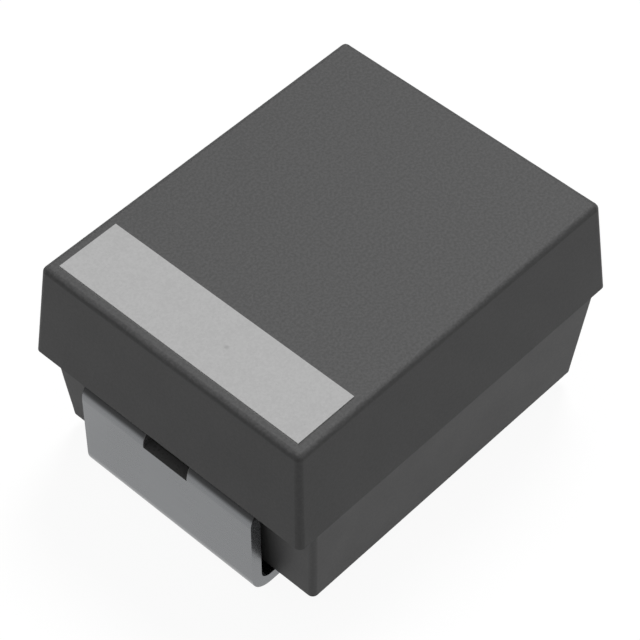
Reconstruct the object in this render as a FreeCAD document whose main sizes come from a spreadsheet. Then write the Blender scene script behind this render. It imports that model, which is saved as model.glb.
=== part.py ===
import FreeCAD, Part
import os
import Sketcher

# A moulded tantalum chip capacitor in the 3528 case, in millimetres.
# The origin is on the board under the middle of the part, +Z is up from the board,
# and +X runs along the part from its banded, positive end to its negative end.

SIZES = {
    # The moulding. Both halves taper away from the parting plane, where they are widest.
    "case_length": 3.5,
    "case_width": 2.8,
    "lower_height": 0.91,
    "upper_height": 0.94,
    "draft_angle": 5.0,
    "corner_radius": 0.05,
    "top_edge_radius": 0.05,
    # The printed polarity band, inset from the top's outline
    "band_length": 0.58,
    "band_margin": 0.1,
    "band_thickness": 0.01,
    # Both terminals, outside the moulding
    "lead_thickness": 0.1,
    "lead_width": 1.8,
    "lead_bend_radius": 0.1,        # on the inside of the bend
    "foot_length": 0.8,
    "foot_gap": 0.05,               # foot to the moulding's underside
    "terminal_clearance": 0.04,     # upright to the lower half's end face, at the parting plane
    "notch_width": 0.46,
    "notch_drop": 0.21,             # parting plane down to the notch's floor
    # Both terminals, inside the moulding, measured in from the lower half's end face
    "slot_depth": 0.1,
    "shoulder_depth": 0.16,
    # The anode terminal's tab, which carries the wire
    "anode_tab_width": 0.9,
    "anode_tab_length": 0.36,
    # The cathode terminal's step down, and its tab under the pellet
    "end_wall": 0.26,               # lower half's end face to the step
    "step_bend_radius": 0.05,       # on the inside of the bend
    "cathode_tab_width": 1.4,
    "cathode_tab_length": 1.5,
    # The anode wire and its washer
    "wire_diameter": 0.2,
    "wire_flat": 0.02,              # pressed off its underside along the tab
    "wire_inset": 0.05,             # shoulder to the wire's free end
    "wire_grip": 1.2,               # length inside the pellet
    "bare_wire": 0.2,               # tab to washer
    "washer_diameter": 0.6,
    "washer_thickness": 0.1,
    # The pellet. Its length is what the wire's end and the cathode terminal leave between them.
    "pellet_width": 1.82,
    "pellet_height": 0.9,
    "pellet_edge_radius": 0.05,
    "pellet_clearance": 0.1,        # coated end to the cathode terminal's step
    # The coats, from the pellet outwards. The carbon and the silver stop short of the wire's end.
    "manganese_thickness": 0.04,
    "graphite_thickness": 0.02,
    "graphite_margin": 0.12,        # pellet's wire end to the carbon
    "silver_thickness": 0.03,
    "silver_margin": 0.12,          # carbon's rim to the silver's
    "adhesive_thickness": 0.03,
    "adhesive_inset": 0.08,         # from the tab's end and sides
}

doc = FreeCAD.newDocument("tantalum_capacitor")
sheet = doc.addObject("Spreadsheet::Sheet", "Sizes")
for row, (alias, number) in enumerate(SIZES.items(), start=1):
    sheet.set(f"A{row}", alias)
    sheet.set(f"B{row}", str(number))
    sheet.setAlias(f"B{row}", alias)
doc.recompute()

# Heights over the board
UNDERSIDE = "(Sizes.lead_thickness + Sizes.foot_gap)"
PARTING = f"({UNDERSIDE} + Sizes.lower_height)"
CASE_TOP = f"({PARTING} + Sizes.upper_height)"
LEAD_UNDERSIDE = f"({PARTING} - Sizes.lead_thickness)"
NOTCH_FLOOR = f"({PARTING} - Sizes.notch_drop)"
WIRE_AXIS = f"({PARTING} + Sizes.wire_diameter / 2 - Sizes.wire_flat)"
MANGANESE = "Sizes.manganese_thickness"
GRAPHITE = f"({MANGANESE} + Sizes.graphite_thickness)"
COATS = f"({GRAPHITE} + Sizes.silver_thickness)"
ELEMENT_UNDERSIDE = f"({WIRE_AXIS} - Sizes.pellet_height / 2 - {COATS})"
TAB_TOP = f"({ELEMENT_UNDERSIDE} - Sizes.adhesive_thickness)"
TAB_UNDERSIDE = f"({TAB_TOP} - Sizes.lead_thickness)"

# Distances out from the middle of the part, the same at both ends
TERMINAL_FACE = "(Sizes.case_length / 2)"
TERMINAL_BACK = f"({TERMINAL_FACE} - Sizes.lead_thickness)"
LOWER_END = f"({TERMINAL_BACK} - Sizes.terminal_clearance)"
SLOT_END = f"({LOWER_END} - Sizes.slot_depth)"
SHOULDER = f"({LOWER_END} - Sizes.shoulder_depth)"
FOOT_TIP = f"({TERMINAL_FACE} - Sizes.foot_length)"
ANODE_TAB_END = f"({SHOULDER} - Sizes.anode_tab_length)"
RISER_OUTSIDE = f"({LOWER_END} - Sizes.end_wall)"
RISER_INSIDE = f"({RISER_OUTSIDE} - Sizes.lead_thickness)"
CATHODE_TAB_END = f"({RISER_INSIDE} - Sizes.cathode_tab_length)"

# Places along the part from the positive end, as X
WIRE_TIP = f"(-{SHOULDER} + Sizes.wire_inset)"
PELLET_FACE = f"(-{ANODE_TAB_END} + Sizes.bare_wire + Sizes.washer_thickness)"
PELLET_END = f"({RISER_INSIDE} - Sizes.pellet_clearance - {COATS})"

# The outside radius of a bend in the strip, and how far the taper draws the top in
LEAD_BEND_OUTSIDE = "(Sizes.lead_bend_radius + Sizes.lead_thickness)"
STEP_BEND_OUTSIDE = "(Sizes.step_bend_radius + Sizes.lead_thickness)"
TOP_INSET = "(Sizes.upper_height * tan(Sizes.draft_angle * 1deg))"

# How a sketch numbers the points of a line or circle, and its own two axes
START, END, CENTRE = range(1, 4)
LEVEL_AXIS, UPRIGHT_AXIS = range(-1, -3, -1)
ORIGIN = (LEVEL_AXIS, START)

# Two places closer than this are the same place.
NEAR = 1e-4


def value(expression):
    """The number that an expression on the sheet gives now."""
    return float(sheet.evalExpression(expression))


def new_body(name):
    return doc.addObject("PartDesign::Body", name)


def new_sketch(body, name, plane, offset="0"):
    """A sketch on one of its body's own planes, set off along the plane's normal."""
    sketch = body.newObject("Sketcher::SketchObject", name)
    base = next(item for item in body.Origin.OriginFeatures if item.Role == plane)
    sketch.AttachmentSupport = (base, [""])
    sketch.MapMode = "FlatFace"
    sketch.setExpression(".AttachmentOffset.Base.z", offset)
    return sketch


def dimension(sketch, kind, *references, size):
    """One dimension of a sketch, tied to the sheet."""
    index = sketch.addConstraint(Sketcher.Constraint(kind, *references, value(size)))
    sketch.setExpression(f"Constraints[{index}]", size)


def stepped_outline(sketch, corners):
    """A closed outline of level and upright sides, each held at its own distance from the axes.

    The first side, from the first corner to the second, is level.
    """
    points = [FreeCAD.Vector(value(across), value(up), 0) for across, up in corners]
    lines = []
    for start, end in zip(points, points[1:] + points[:1]):
        lines.append(sketch.addGeometry(Part.LineSegment(start, end), False))
    for line, following in zip(lines, lines[1:] + lines[:1]):
        sketch.addConstraint(Sketcher.Constraint("Coincident", line, END, following, START))
    for place, (line, (across, up)) in enumerate(zip(lines, corners)):
        if place % 2 == 0:
            sketch.addConstraint(Sketcher.Constraint("Horizontal", line))
            dimension(sketch, "DistanceY", *ORIGIN, line, START, size=up)
        else:
            sketch.addConstraint(Sketcher.Constraint("Vertical", line))
            dimension(sketch, "DistanceX", *ORIGIN, line, START, size=across)


def rectangle(sketch, across, up):
    """A rectangle between two places across the sketch and two up it."""
    left, right = across
    low, high = up
    stepped_outline(sketch, [(left, low), (right, low), (right, high), (left, high)])


def about(middle, size):
    """The two ends of a size that lies evenly about a middle."""
    return f"({middle} - {size} / 2)", f"({middle} + {size} / 2)"


def circle(sketch, diameter, middle):
    """A circle on the sketch's upright axis."""
    centre = FreeCAD.Vector(0, value(middle), 0)
    ring = sketch.addGeometry(Part.Circle(centre, FreeCAD.Vector(0, 0, 1), value(diameter) / 2), False)
    sketch.addConstraint(Sketcher.Constraint("PointOnObject", ring, CENTRE, UPRIGHT_AXIS))
    dimension(sketch, "DistanceY", *ORIGIN, ring, CENTRE, size=middle)
    dimension(sketch, "Diameter", ring, size=diameter)


def pad(body, name, sketch, length, both_ways=False, downwards=False, taper=None):
    """Material from a sketch. A taper draws its far end in by that angle on every side."""
    feature = body.newObject("PartDesign::Pad", name)
    feature.Profile = sketch
    feature.setExpression("Length", length)
    feature.SideType = "Symmetric" if both_ways else "One side"
    feature.Reversed = downwards
    if taper:
        feature.setExpression("TaperAngle", f"-{taper}")
    doc.recompute()


def pocket(body, name, sketch, length=None, both_ways=False, along_normal=False):
    """A cut against the sketch's normal, or along it. With no length it goes all the way out."""
    before = body.Shape.Volume
    feature = body.newObject("PartDesign::Pocket", name)
    feature.Profile = sketch
    feature.SideType = "Symmetric" if both_ways else "One side"
    feature.Reversed = along_normal
    if length:
        feature.setExpression("Length", length)
    else:
        feature.Type = "ThroughAll"
    doc.recompute()
    if not feature.Shape.Volume < before:
        raise RuntimeError(f"{name} cuts nothing")


def fillet(body, name, radius, chosen):
    """Rounds the edges of the body so far for which chosen(edge) is true."""
    base = body.Tip
    edges = [f"Edge{number}" for number, edge in enumerate(base.Shape.Edges, start=1) if chosen(edge)]
    feature = body.newObject("PartDesign::Fillet", name)
    feature.Base = (base, edges)
    feature.setExpression("Radius", radius)
    doc.recompute()


def across_at(along, height):
    """Chooses the edge that runs across the part through one point of its side view."""
    place_x = value(along)
    place_z = value(height)

    def chosen(edge):
        box = edge.BoundBox
        level = box.XLength < NEAR and box.ZLength < NEAR
        return level and abs(box.XMin - place_x) < NEAR and abs(box.ZMin - place_z) < NEAR

    return chosen


# The terminals

def outer_strip(name):
    """The strip outside the moulding, and its full width as far in as the shoulders.

    It is drawn at the positive end: foot, upright and top bend. A notch at the middle of the top bend
    runs on as a slot that the moulding fills.
    """
    body = new_body(name)
    side_view = new_sketch(body, f"{name}_side_view", "XZ_Plane")
    stepped_outline(side_view, [
        (f"-{TERMINAL_FACE}", "0"),
        (f"-{FOOT_TIP}", "0"),
        (f"-{FOOT_TIP}", "Sizes.lead_thickness"),
        (f"-{TERMINAL_BACK}", "Sizes.lead_thickness"),
        (f"-{TERMINAL_BACK}", LEAD_UNDERSIDE),
        (f"-{SHOULDER}", LEAD_UNDERSIDE),
        (f"-{SHOULDER}", PARTING),
        (f"-{TERMINAL_FACE}", PARTING),
    ])
    pad(body, f"{name}_strip", side_view, "Sizes.lead_width", both_ways=True)
    for bend, inner_height, outer_height in (
            ("foot_bend", "Sizes.lead_thickness", "0"),
            ("top_bend", LEAD_UNDERSIDE, PARTING)):
        fillet(body, f"{name}_{bend}_inside", "Sizes.lead_bend_radius",
               across_at(f"-{TERMINAL_BACK}", inner_height))
        fillet(body, f"{name}_{bend}_outside", LEAD_BEND_OUTSIDE,
               across_at(f"-{TERMINAL_FACE}", outer_height))
    end_view = new_sketch(body, f"{name}_notch_outline", "YZ_Plane", offset=f"-{SLOT_END}")
    rectangle(end_view, about("0", "Sizes.notch_width"), (NOTCH_FLOOR, CASE_TOP))
    pocket(body, f"{name}_notch", end_view)
    return body


def anode_tab_side_view(body, name):
    """The level tab seen from the side, which both the tab and the flat on the wire follow."""
    side_view = new_sketch(body, name, "XZ_Plane")
    rectangle(side_view, (f"-{SHOULDER}", f"-{ANODE_TAB_END}"), (LEAD_UNDERSIDE, PARTING))
    return side_view


def anode_terminal():
    """The positive terminal, whose tab stays level to take the wire."""
    body = outer_strip("anode_terminal")
    side_view = anode_tab_side_view(body, "anode_tab_outline")
    pad(body, "anode_tab", side_view, "Sizes.anode_tab_width", both_ways=True)
    return body


def cathode_terminal():
    """The negative terminal, whose tab steps down under the pellet.

    It is drawn at the positive end and turned half round.
    """
    body = outer_strip("cathode_terminal")
    side_view = new_sketch(body, "cathode_tab_side_view", "XZ_Plane")
    stepped_outline(side_view, [
        (f"-{SHOULDER}", PARTING),
        (f"-{RISER_INSIDE}", PARTING),
        (f"-{RISER_INSIDE}", TAB_TOP),
        (f"-{CATHODE_TAB_END}", TAB_TOP),
        (f"-{CATHODE_TAB_END}", TAB_UNDERSIDE),
        (f"-{RISER_OUTSIDE}", TAB_UNDERSIDE),
        (f"-{RISER_OUTSIDE}", LEAD_UNDERSIDE),
        (f"-{SHOULDER}", LEAD_UNDERSIDE),
    ])
    pad(body, "cathode_tab", side_view, "Sizes.cathode_tab_width", both_ways=True)
    for bend, radius, along, height in (
            ("step_top_inside", "Sizes.step_bend_radius", RISER_OUTSIDE, LEAD_UNDERSIDE),
            ("step_top_outside", STEP_BEND_OUTSIDE, RISER_INSIDE, PARTING),
            ("step_foot_inside", "Sizes.step_bend_radius", RISER_INSIDE, TAB_TOP),
            ("step_foot_outside", STEP_BEND_OUTSIDE, RISER_OUTSIDE, TAB_UNDERSIDE)):
        fillet(body, bend, radius, across_at(f"-{along}", height))
    body.Placement = FreeCAD.Placement(FreeCAD.Vector(), FreeCAD.Rotation(FreeCAD.Vector(0, 0, 1), 180))
    return body


# The wire, its washer, the pellet and its coats

def anode_wire():
    """Round wire from the anode terminal's tab into the pellet, pressed flat where it is welded."""
    body = new_body("anode_wire")
    section = new_sketch(body, "wire_section", "YZ_Plane", offset=WIRE_TIP)
    circle(section, "Sizes.wire_diameter", middle=WIRE_AXIS)
    pad(body, "wire", section, f"({PELLET_FACE} + Sizes.wire_grip - {WIRE_TIP})")
    side_view = anode_tab_side_view(body, "weld_flat_outline")
    pocket(body, "weld_flat", side_view, "Sizes.wire_diameter", both_ways=True)
    return body


def wire_washer():
    """The ring that sits on the wire against the pellet and keeps the coats off the wire."""
    body = new_body("wire_washer")
    face = new_sketch(body, "washer_face", "YZ_Plane", offset=f"({PELLET_FACE} - Sizes.washer_thickness)")
    circle(face, "Sizes.washer_diameter", middle=WIRE_AXIS)
    circle(face, "Sizes.wire_diameter", middle=WIRE_AXIS)
    pad(body, "washer", face, "Sizes.washer_thickness")
    return body


def block(name, start, end, growth, open_end=False):
    """The pellet's form from one X to another, grown on its sides, with rounded edges.

    With an open end, the edges towards the wire stay sharp.
    """
    body = new_body(name)
    section = new_sketch(body, f"{name}_section", "YZ_Plane", offset=start)
    width = f"(Sizes.pellet_width + 2 * {growth})"
    height = f"(Sizes.pellet_height + 2 * {growth})"
    rectangle(section, about("0", width), about(WIRE_AXIS, height))
    pad(body, f"{name}_length", section, f"({end} - {start})")
    wire_end = value(start)

    def is_rounded(edge):
        at_wire_end = edge.BoundBox.XMax - wire_end < NEAR
        return not (open_end and at_wire_end)

    fillet(body, f"{name}_edges", f"(Sizes.pellet_edge_radius + {growth})", is_rounded)
    return body


def tantalum_pellet():
    """The sintered block, with the hole that the wire fills."""
    body = block("tantalum_pellet", PELLET_FACE, PELLET_END, "0")
    mouth = new_sketch(body, "wire_hole_outline", "YZ_Plane", offset=PELLET_FACE)
    circle(mouth, "Sizes.wire_diameter", middle=WIRE_AXIS)
    pocket(body, "wire_hole", mouth, "Sizes.wire_grip", along_normal=True)
    return body


def silver_adhesive():
    """The glue between the silver's flat underside and the cathode terminal's tab."""
    body = new_body("silver_adhesive")
    footprint = new_sketch(body, "adhesive_footprint", "XY_Plane", offset=TAB_TOP)
    start = f"({CATHODE_TAB_END} + Sizes.adhesive_inset)"
    end = f"({PELLET_END} - Sizes.pellet_edge_radius)"
    width = "(Sizes.cathode_tab_width - 2 * Sizes.adhesive_inset)"
    rectangle(footprint, (start, end), about("0", width))
    pad(body, "adhesive", footprint, "Sizes.adhesive_thickness")
    return body


def joined(name, pieces):
    """Several pieces as one form, to be cut away from what lies round them."""
    union = doc.addObject("Part::MultiFuse", name)
    union.Shapes = pieces
    doc.recompute()
    return union


def laid_over(name, outside, inside):
    """What one form holds outside another, so that the two meet face to face."""
    remainder = doc.addObject("Part::Cut", name)
    remainder.Base = outside
    remainder.Tool = inside
    doc.recompute()
    return remainder


# The moulding and its print

def case_form():
    """The block as the mould leaves it: two tapered halves that meet at the parting plane.

    The lower half is set back at both ends, and flush with the upper half along the sides.
    """
    body = new_body("case_form")
    lower_outline = new_sketch(body, "lower_outline", "XY_Plane", offset=PARTING)
    rectangle(lower_outline, (f"-{LOWER_END}", LOWER_END), about("0", "Sizes.case_width"))
    pad(body, "lower_half", lower_outline, "Sizes.lower_height", downwards=True, taper="Sizes.draft_angle")
    fillet(body, "lower_corners", "Sizes.corner_radius", lambda edge: edge.BoundBox.ZLength > NEAR)
    upper_outline = new_sketch(body, "upper_outline", "XY_Plane", offset=PARTING)
    rectangle(upper_outline, about("0", "Sizes.case_length"), about("0", "Sizes.case_width"))
    pad(body, "upper_half", upper_outline, "Sizes.upper_height", taper="Sizes.draft_angle")
    parting = value(PARTING)
    top = value(CASE_TOP)

    def climbs_to_the_top(edge):
        box = edge.BoundBox
        return abs(box.ZMin - parting) < NEAR and abs(box.ZMax - top) < NEAR

    def lies_in_the_top(edge):
        return abs(edge.BoundBox.ZMin - top) < NEAR

    fillet(body, "upper_corners", "Sizes.corner_radius", climbs_to_the_top)
    fillet(body, "top_edges", "Sizes.top_edge_radius", lies_in_the_top)
    return body


def polarity_band():
    """The bar printed across the top at the positive end."""
    body = new_body("polarity_band")
    footprint = new_sketch(body, "band_footprint", "XY_Plane", offset=CASE_TOP)
    start = f"(-{TERMINAL_FACE} + {TOP_INSET} + Sizes.band_margin)"
    end = f"({start} + Sizes.band_length)"
    width = f"(Sizes.case_width - 2 * {TOP_INSET} - 2 * Sizes.band_margin)"
    rectangle(footprint, (start, end), about("0", width))
    pad(body, "band", footprint, "Sizes.band_thickness")
    return body


anode = anode_terminal()
cathode = cathode_terminal()
wire = anode_wire()
washer = wire_washer()
pellet = tantalum_pellet()
adhesive = silver_adhesive()

# Each coat is the element as that dip leaves it, less the element as it was before.
manganese_form = block("manganese_form", f"({PELLET_FACE} - {MANGANESE})", f"({PELLET_END} + {MANGANESE})",
                       MANGANESE)
graphite_form = block("graphite_form", f"({PELLET_FACE} + Sizes.graphite_margin)",
                      f"({PELLET_END} + {GRAPHITE})", GRAPHITE, open_end=True)
silver_form = block("silver_form", f"({PELLET_FACE} + Sizes.graphite_margin + Sizes.silver_margin)",
                    f"({PELLET_END} + {COATS})", COATS, open_end=True)
bare_element = joined("bare_element", [pellet, washer, wire])
manganese = laid_over("manganese_dioxide_coat", manganese_form, bare_element)
graphite = laid_over("graphite_coat", graphite_form, manganese_form)
silver = laid_over("silver_coat", silver_form, graphite_form)

# The moulding fills everything round what it holds.
held_pieces = joined("held_pieces", [
    anode, cathode, wire, washer, manganese_form, graphite_form, silver_form, adhesive])
case = laid_over("moulded_case", case_form(), held_pieces)
band = polarity_band()

doc.recompute()
for item in doc.Objects:
    if "Invalid" in item.State or "Error" in item.State:
        raise RuntimeError(f"{item.Label} did not build: {item.State}")

os.makedirs("parts", exist_ok=True)
for piece in (case, band, anode, cathode, wire, washer, pellet, manganese, graphite, silver, adhesive):
    shape = piece.Shape
    if shape.isNull() or not shape.isValid() or len(shape.Solids) != 1:
        raise RuntimeError(f"{piece.Label} is not one sound solid")
    shape.exportStep(f"parts/{piece.Label}.step")
    print(f"{piece.Label}: {shape.Volume:.4f} cubic mm, {len(shape.Faces)} faces")
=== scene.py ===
import math

import bmesh
import bpy
from mathutils import Matrix, Vector

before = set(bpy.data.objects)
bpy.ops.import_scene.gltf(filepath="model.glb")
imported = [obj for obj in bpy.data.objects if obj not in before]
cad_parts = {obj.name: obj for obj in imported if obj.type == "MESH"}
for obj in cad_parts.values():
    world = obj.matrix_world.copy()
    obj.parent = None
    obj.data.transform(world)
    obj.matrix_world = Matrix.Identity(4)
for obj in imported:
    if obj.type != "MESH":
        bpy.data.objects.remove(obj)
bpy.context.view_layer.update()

MM = 0.001

# Places on the part, in millimetres
TOP_FACE = 2.0
PRINT_TOP = 2.01
PRINT_OUTER_EDGE = -1.567
PRINT_HALF_WIDTH = 1.217
PRINT_SPECK = (-1.283, -0.238, PRINT_TOP)
NOTCH_FLOOR = 0.85
NOTCH_HALF_WIDTH = 0.23

# The heights between which painted shade under the moulding's rim comes up on the tin
RIM_SHADE_HEIGHTS = (0.918, 0.965)

# Most of a mottle lies between these two levels
MOTTLE_RANGE = (0.3, 0.7)

# How much the moulding and the ink shine, where 0.5 is usual for a plastic
MATT_SHINE = 0.22

# The sockets by which a Mix node mixes colours
MIX_SHARE, MIX_FIRST, MIX_SECOND, MIX_RESULT = 0, 6, 7, 2


# Node maths

class Level:
    """One output of a node, which takes part in sums and products."""

    def __init__(self, nodes, socket):
        self.nodes = nodes
        self.socket = socket

    def sum(self, operation, *terms):
        return self.nodes.add("ShaderNodeMath", {"operation": operation}, terms)

    def __add__(self, other):
        return self.sum("ADD", self, other)

    def __radd__(self, other):
        return self.sum("ADD", other, self)

    def __sub__(self, other):
        return self.sum("SUBTRACT", self, other)

    def __rsub__(self, other):
        return self.sum("SUBTRACT", other, self)

    def __mul__(self, other):
        return self.sum("MULTIPLY", self, other)

    def __rmul__(self, other):
        return self.sum("MULTIPLY", other, self)

    def __abs__(self):
        return self.sum("ABSOLUTE", self)

    def __or__(self, other):
        """The higher of two levels."""
        return self.sum("MAXIMUM", self, other)


class Nodes:
    """The nodes of one material, or of the room's light."""

    def __init__(self, owner):
        owner.use_nodes = True
        self.tree = owner.node_tree
        self.tree.nodes.clear()

    def add(self, kind, settings=None, inputs=(), output=0):
        """A node with its settings made first, then its sockets, by name or by place."""
        node = self.tree.nodes.new(kind)
        for name, setting in (settings or {}).items():
            setattr(node, name, setting)
        pairs = inputs.items() if isinstance(inputs, dict) else enumerate(inputs)
        for key, given in pairs:
            if isinstance(given, Level):
                self.tree.links.new(given.socket, node.inputs[key])
            else:
                node.inputs[key].default_value = given
        return Level(self, node.outputs[output]) if node.outputs else node

    def place(self):
        """Where a point lies on the part, in millimetres."""
        metres = self.add("ShaderNodeTexCoord", output="Object")
        return self.add("ShaderNodeVectorMath", {"operation": "SCALE"},
                        {0: metres, "Scale": 1.0 / MM})

    def along(self, vector, axis):
        """How far a vector reaches along X, Y or Z."""
        return self.add("ShaderNodeSeparateXYZ", None, {"Vector": vector}, output=axis)

    def stretched(self, place, x, y, z):
        """A place multiplied along each axis, so that grain laid on it runs into lines."""
        return self.add("ShaderNodeVectorMath", {"operation": "MULTIPLY"}, {0: place, 1: (x, y, z)})

    def grain(self, place, per_mm=1.0, detail=2.0, roughness=0.5, distortion=0.0):
        """Soft mottle about 0.5, with so many blotches to the millimetre."""
        return self.add("ShaderNodeTexNoise", {"noise_dimensions": "3D"}, {
            "Vector": place, "Scale": per_mm, "Detail": detail, "Roughness": roughness,
            "Distortion": distortion}, output="Fac")

    def cells(self, place, per_mm):
        """How far a point is from the nearest of many scattered seeds."""
        return self.add("ShaderNodeTexVoronoi", {"feature": "F1"},
                        {"Vector": place, "Scale": per_mm}, output="Distance")

    def between(self, level, low, high, to_low=0.0, to_high=1.0):
        """A level spread from one range to another, and held at its ends."""
        return self.add("ShaderNodeMapRange", {"clamp": True, "interpolation_type": "SMOOTHSTEP"}, {
            "Value": level, "From Min": low, "From Max": high, "To Min": to_low, "To Max": to_high})

    def fading(self, level, low, high):
        """1 up to the low end of a range, and 0 from its high end."""
        return self.between(level, low, high, 1.0, 0.0)

    def spread(self, mottle, to_low=0.0, to_high=1.0):
        """A mottle's usual range, spread from one value to another."""
        return self.between(mottle, *MOTTLE_RANGE, to_low, to_high)

    def mixed(self, share, first, second):
        """Two colours mixed by a share, which is 0 at the first."""
        first, second = (
            colour if isinstance(colour, Level) else (*colour, 1.0) for colour in (first, second))
        return self.add("ShaderNodeMix", {"data_type": "RGBA"}, {
            MIX_SHARE: share, MIX_FIRST: first, MIX_SECOND: second}, output=MIX_RESULT)

    def relief(self, height, depth_mm):
        """A surface normal from a height, whose full range is so many millimetres deep."""
        return self.add("ShaderNodeBump", None, {
            "Height": height, "Distance": depth_mm * MM, "Strength": 1.0}, output="Normal")


def finish_of(name):
    """A new material and its nodes."""
    material = bpy.data.materials.new(name)
    return material, Nodes(material)


def surface(nodes, sockets):
    """The surface itself, with its constants and what changes over it."""
    shader = nodes.add("ShaderNodeBsdfPrincipled", None, sockets, output="BSDF")
    nodes.add("ShaderNodeOutputMaterial", None, {"Surface": shader})


def grey(level):
    return (level, level, level)


# The finishes

def painted_light_beside_print(nodes, place):
    """The top face just outside the print's outer edge, lightened as painted light over the shadow
    that the print casts there.
    """
    along = nodes.along(place, "X")
    across = abs(nodes.along(place, "Y"))
    height = nodes.along(place, "Z")
    return (nodes.between(along, PRINT_OUTER_EDGE - 0.010, PRINT_OUTER_EDGE - 0.004)
            * nodes.fading(along, PRINT_OUTER_EDGE + 0.007, PRINT_OUTER_EDGE + 0.012)
            * nodes.fading(across, PRINT_HALF_WIDTH - 0.002, PRINT_HALF_WIDTH + 0.003)
            * nodes.between(height, TOP_FACE - 0.005, TOP_FACE - 0.002))


def moulded_epoxy():
    """Charcoal moulding compound: matt, with a fine grain, stronger on top than on the sides."""
    material, nodes = finish_of("moulded_epoxy")
    place = nodes.place()
    fine = nodes.grain(place, 34.0, detail=3.0, roughness=0.6)
    coarse = nodes.grain(place, 3.0)
    speckle = nodes.grain(place, 46.0, roughness=0.6)
    facing = nodes.add("ShaderNodeTexCoord", output="Normal")
    on_sides, on_top = 0.4, 1.0
    strength = nodes.between(nodes.along(facing, "Z"), 0.5, 0.95, on_sides, on_top)
    shade = nodes.between(0.8 * speckle + 0.2 * coarse, 0.35, 0.65)
    shade = 0.5 + strength * (shade - 0.5)
    colour = nodes.mixed(shade, (0.069, 0.069, 0.0695), (0.095, 0.095, 0.0955))
    filler = nodes.fading(nodes.cells(place, 26.0), 0.02, 0.16)
    chosen = nodes.between(nodes.grain(place, 19.0, detail=0.0), 0.58, 0.66)
    colour = nodes.mixed(0.25 * filler * chosen, colour, grey(0.19))
    # Painted light: the thin strip beside the print's outer edge is lightened over the print's cast
    # shadow.
    colour = nodes.mixed(0.5 * painted_light_beside_print(nodes, place), colour, grey(0.5))
    surface(nodes, {
        "Base Color": colour,
        "Roughness": nodes.between(coarse + 0.6 * fine, 0.5, 1.1, 0.53, 0.575),
        "Specular IOR Level": MATT_SHINE,
        "Normal": nodes.relief(0.8 * fine + 0.2 * coarse, 0.0008),
    })
    return material


def band_print():
    """Pale grey ink, printed thin over the moulding's grain, with a few pinholes and one speck."""
    material, nodes = finish_of("band_print")
    place = nodes.place()
    fine = nodes.grain(place, 46.0, roughness=0.6)
    coarse = nodes.grain(place, 4.0)
    shade = nodes.spread(0.8 * fine + 0.2 * coarse)
    colour = nodes.mixed(shade, grey(0.453), grey(0.512))
    pinhole = nodes.fading(nodes.cells(place, 5.0), 0.03, 0.055)
    colour = nodes.mixed(0.35 * pinhole, colour, grey(0.13))
    offset = nodes.add("ShaderNodeVectorMath", {"operation": "DISTANCE"},
                       {0: place, 1: PRINT_SPECK}, output="Value")
    speck = nodes.fading(offset, 0.008, 0.027)
    colour = nodes.mixed(0.22 * speck, colour, grey(0.13))
    # Painted light: the print's thin side wall is made near white to lighten the shade that falls
    # on it.
    edge = nodes.fading(nodes.along(place, "Z"), PRINT_TOP - 0.004, PRINT_TOP - 0.001)
    colour = nodes.mixed(edge, colour, grey(0.92))
    surface(nodes, {
        "Base Color": colour,
        "Roughness": nodes.spread(fine, 0.55, 0.65),
        "Specular IOR Level": MATT_SHINE,
        "Normal": nodes.relief(0.7 * fine + 0.3 * coarse, 0.0012),
    })
    return material


def tin_plate():
    """Matt tin with a fine bloom and faint rolling lines, with painted shade where it runs up under
    the moulding's rim.

    The notch was cut after plating, so its faces are dull bare metal.
    """
    material, nodes = finish_of("tin_plate")
    place = nodes.place()
    bloom = nodes.grain(place, 42.0)
    lines = nodes.grain(nodes.stretched(place, 60.0, 2.0, 60.0), detail=1.0)
    clouds = nodes.grain(place, 1.6)
    shade = nodes.spread(0.5 * clouds + 0.3 * lines + 0.2 * bloom)
    colour = nodes.mixed(shade, (0.179, 0.184, 0.191), (0.197, 0.203, 0.210))
    height = nodes.along(place, "Z")
    # Painted shade: the tin is darkened where it runs up close under the moulding's rim.
    painted_rim_shade = nodes.between(height + 0.02 * clouds, *RIM_SHADE_HEIGHTS)
    colour = nodes.mixed(0.86 * painted_rim_shade, colour, grey(0.02))
    across = abs(nodes.along(place, "Y"))
    cut = (nodes.between(height, NOTCH_FLOOR - 0.003, NOTCH_FLOOR - 0.001)
           * nodes.fading(across, NOTCH_HALF_WIDTH + 0.002, NOTCH_HALF_WIDTH + 0.006))
    colour = nodes.mixed(cut, colour, grey(0.13))
    surface(nodes, {
        "Base Color": colour,
        "Metallic": 1.0 - cut,
        "Roughness": nodes.spread(0.6 * clouds + 0.4 * bloom, 0.25, 0.31),
        "Normal": nodes.relief(0.5 * lines + 0.5 * bloom, 0.00006),
    })
    return material


def drawn_tantalum():
    """Bright drawn wire, blue-grey, with its die lines along it."""
    material, nodes = finish_of("drawn_tantalum")
    place = nodes.place()
    lines = nodes.grain(nodes.stretched(place, 2.0, 110.0, 110.0))
    blush = nodes.grain(place, 7.0)
    shade = nodes.between(lines, 0.35, 0.65)
    surface(nodes, {
        "Base Color": nodes.mixed(shade, (0.30, 0.31, 0.34), (0.40, 0.41, 0.44)),
        "Metallic": 1.0,
        "Roughness": nodes.spread(blush, 0.24, 0.38),
        "Normal": nodes.relief(lines, 0.0006),
    })
    return material


def washer_plastic():
    """Milky, waxy fluoropolymer, with skiving marks across it."""
    material, nodes = finish_of("washer_plastic")
    place = nodes.place()
    marks = nodes.grain(nodes.stretched(place, 30.0, 4.0, 60.0))
    milk = nodes.grain(place, 6.0)
    surface(nodes, {
        "Base Color": nodes.mixed(nodes.spread(milk), (0.72, 0.72, 0.69), (0.82, 0.82, 0.80)),
        "Roughness": nodes.spread(marks, 0.4, 0.55),
        "Subsurface Weight": 0.15,
        "Subsurface Scale": 0.05 * MM,
        "Normal": nodes.relief(marks, 0.001),
    })
    return material


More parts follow.
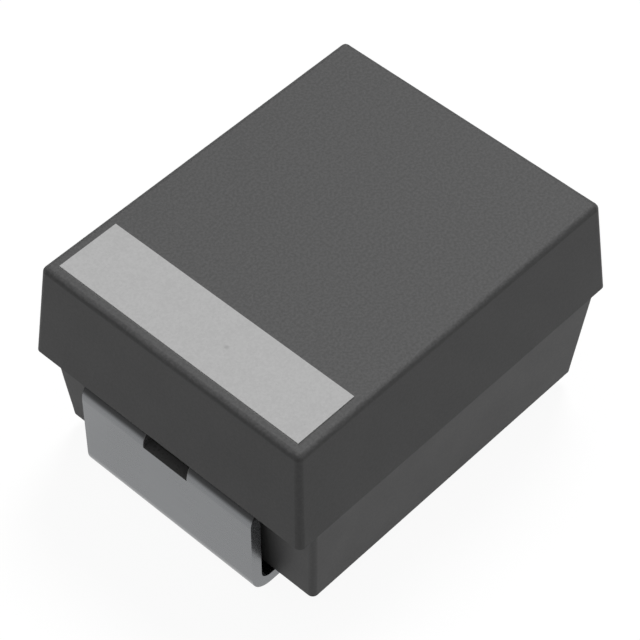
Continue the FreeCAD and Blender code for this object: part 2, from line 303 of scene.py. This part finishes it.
def sintered_tantalum():
    """Pressed and sintered powder: dark, half metallic, and porous all over."""
    material, nodes = finish_of("sintered_tantalum")
    place = nodes.place()
    powder = nodes.cells(place, 70.0)
    clumps = nodes.grain(place, 22.0, detail=3.0)
    pores = nodes.between(powder, 0.45, 0.75)
    shade = nodes.between(clumps, 0.35, 0.65)
    colour = nodes.mixed(shade, (0.10, 0.10, 0.11), (0.17, 0.17, 0.18))
    colour = nodes.mixed(0.8 * pores, colour, grey(0.03))
    surface(nodes, {
        "Base Color": colour,
        "Metallic": 1.0 - pores * 0.6,
        "Roughness": nodes.spread(clumps, 0.55, 0.75),
        "Normal": nodes.relief(clumps - 0.7 * powder, 0.004),
    })
    return material


def manganese_dioxide():
    """Baked manganese dioxide: almost black, dull and crusted."""
    material, nodes = finish_of("manganese_dioxide")
    place = nodes.place()
    crust = nodes.grain(place, 18.0, detail=4.0, roughness=0.65, distortion=0.6)
    beads = nodes.cells(place, 45.0)
    shade = nodes.between(crust, 0.35, 0.7)
    surface(nodes, {
        "Base Color": nodes.mixed(shade, (0.012, 0.011, 0.010), (0.040, 0.036, 0.033)),
        "Roughness": nodes.spread(crust, 0.7, 0.9),
        "Normal": nodes.relief(crust - 0.3 * beads, 0.005),
    })
    return material


def dried_coat(name, dark, light, metallic, roughness, depth_mm):
    """A dipped coat with flakes in it, which dried with low ripples."""
    material, nodes = finish_of(name)
    place = nodes.place()
    flakes = nodes.cells(place, 55.0)
    ripples = nodes.grain(nodes.stretched(place, 5.0, 2.5, 2.5), distortion=0.4)
    grit = nodes.grain(place, 30.0)
    shade = nodes.between(0.5 * flakes + 0.3 * ripples + 0.4 * grit, 0.3, 0.8)
    surface(nodes, {
        "Base Color": nodes.mixed(shade, dark, light),
        "Metallic": metallic,
        "Roughness": nodes.spread(grit, *roughness),
        "Normal": nodes.relief(ripples + 0.25 * flakes, depth_mm),
    })
    return material


FINISHES = {
    "moulded_case": moulded_epoxy(),
    "polarity_band": band_print(),
    "anode_wire": drawn_tantalum(),
    "wire_washer": washer_plastic(),
    "tantalum_pellet": sintered_tantalum(),
    "manganese_dioxide_coat": manganese_dioxide(),
    "graphite_coat": dried_coat(
        "graphite", dark=(0.030, 0.030, 0.033), light=(0.075, 0.075, 0.080),
        metallic=0.3, roughness=(0.35, 0.55), depth_mm=0.004),
    "silver_coat": dried_coat(
        "silver_paint", dark=(0.46, 0.45, 0.43), light=(0.66, 0.65, 0.62),
        metallic=0.8, roughness=(0.36, 0.52), depth_mm=0.005),
    "silver_adhesive": dried_coat(
        "silver_glue", dark=(0.38, 0.37, 0.35), light=(0.56, 0.55, 0.52),
        metallic=0.7, roughness=(0.45, 0.65), depth_mm=0.003),
}
FINISHES["anode_terminal"] = FINISHES["cathode_terminal"] = tin_plate()

for name, finish in FINISHES.items():
    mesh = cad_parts[name].data
    mesh.materials.clear()
    mesh.materials.append(finish)


# The studio: a white table, a soft room and one lamp

WHITE = (1.0, 1.0, 1.0, 1.0)


def seen(nodes):
    """1 for what the camera, a mirror or a glass sees, and 0 for what lights the part."""
    path = "ShaderNodeLightPath"
    eye = nodes.add(path, output="Is Camera Ray")
    mirror = nodes.add(path, output="Is Glossy Ray")
    glass = nodes.add(path, output="Is Transmission Ray")
    return eye | mirror | glass


def table():
    """The floor that the part stands on, which looks white wherever it is seen."""
    radius = 0.4
    drop = 0.001 * MM
    mesh = bpy.data.meshes.new("table")
    shape = bmesh.new()
    bmesh.ops.create_circle(shape, cap_ends=True, segments=96, radius=radius)
    bmesh.ops.translate(shape, verts=shape.verts, vec=(0, 0, -drop))
    shape.to_mesh(mesh)
    shape.free()
    top = bpy.data.objects.new("table", mesh)
    bpy.context.collection.objects.link(top)
    material, nodes = finish_of("table_white")
    dull = nodes.add("ShaderNodeBsdfDiffuse", None, {"Color": (*grey(0.44), 1.0)})
    lit = nodes.add("ShaderNodeBsdfDiffuse", None, {"Color": (*grey(0.09), 1.0)})
    glow = nodes.add("ShaderNodeEmission", None, {"Color": WHITE, "Strength": 0.93})
    shown = nodes.add("ShaderNodeAddShader", None, [lit, glow])
    floor = nodes.add("ShaderNodeMixShader", None, [seen(nodes), dull, shown])
    nodes.add("ShaderNodeOutputMaterial", None, {"Surface": floor})
    mesh.materials.append(material)


def room():
    """Soft light that fades from the ceiling down the walls, and a white skirting that lights
    nothing and only carries the table's white up past the horizon."""
    wall_foot, wall_top = 0.2, 0.9
    horizon_light, ceiling_light = 0.01, 0.53
    world = bpy.data.worlds.new("room")
    bpy.context.scene.world = world
    nodes = Nodes(world)
    direction = nodes.add("ShaderNodeTexCoord", output="Generated")
    height = nodes.along(direction, "Z")
    walls = nodes.between(height, wall_foot, wall_top, horizon_light, ceiling_light)
    skirting = nodes.fading(height, 0.14, wall_foot)
    light = walls | seen(nodes) * skirting
    background = nodes.add("ShaderNodeBackground", None, {"Color": WHITE, "Strength": light})
    nodes.add("ShaderNodeOutputWorld", None, {"Surface": background})


def key_lamp():
    """One soft lamp, high up behind the part and to the right of it."""
    towards_lamp = Vector((0.476, 0.239, 0.846)).normalized()
    distance = 0.05
    lamp = bpy.data.lights.new("key_lamp", "SUN")
    lamp.energy = 1.95
    lamp.angle = math.radians(20)
    holder = bpy.data.objects.new("key_lamp", lamp)
    bpy.context.collection.objects.link(holder)
    turn = towards_lamp.to_track_quat("Z", "Y").to_matrix().to_4x4()
    holder.matrix_world = Matrix.Translation(towards_lamp * distance) @ turn


def camera():
    """The photograph's camera, solved from the corners of the moulding, in millimetres."""
    azimuth, elevation = math.radians(-46.95275), math.radians(49.63959)
    distance = 20.00446
    aim_height, aim_right, aim_up = 1.1, -0.02747, -0.05227
    lens = bpy.data.cameras.new("camera")
    lens.sensor_width = 36.0
    lens.lens = 144.907
    lens.clip_start = 0.001
    lens.clip_end = 10.0
    holder = bpy.data.objects.new("camera", lens)
    bpy.context.collection.objects.link(holder)
    back = Vector((math.sin(azimuth) * math.cos(elevation),
                   -math.cos(azimuth) * math.cos(elevation), math.sin(elevation)))
    right = Vector((0, 0, 1)).cross(back).normalized()
    up = back.cross(right)
    target = Vector((0, 0, aim_height)) + right * aim_right + up * aim_up
    turn = Matrix((right, up, back)).transposed().to_4x4()
    holder.matrix_world = Matrix.Translation((target + back * distance) * MM) @ turn
    bpy.context.scene.camera = holder


table()
room()
key_lamp()
camera()
bpy.context.scene.view_settings.view_transform = "Standard"
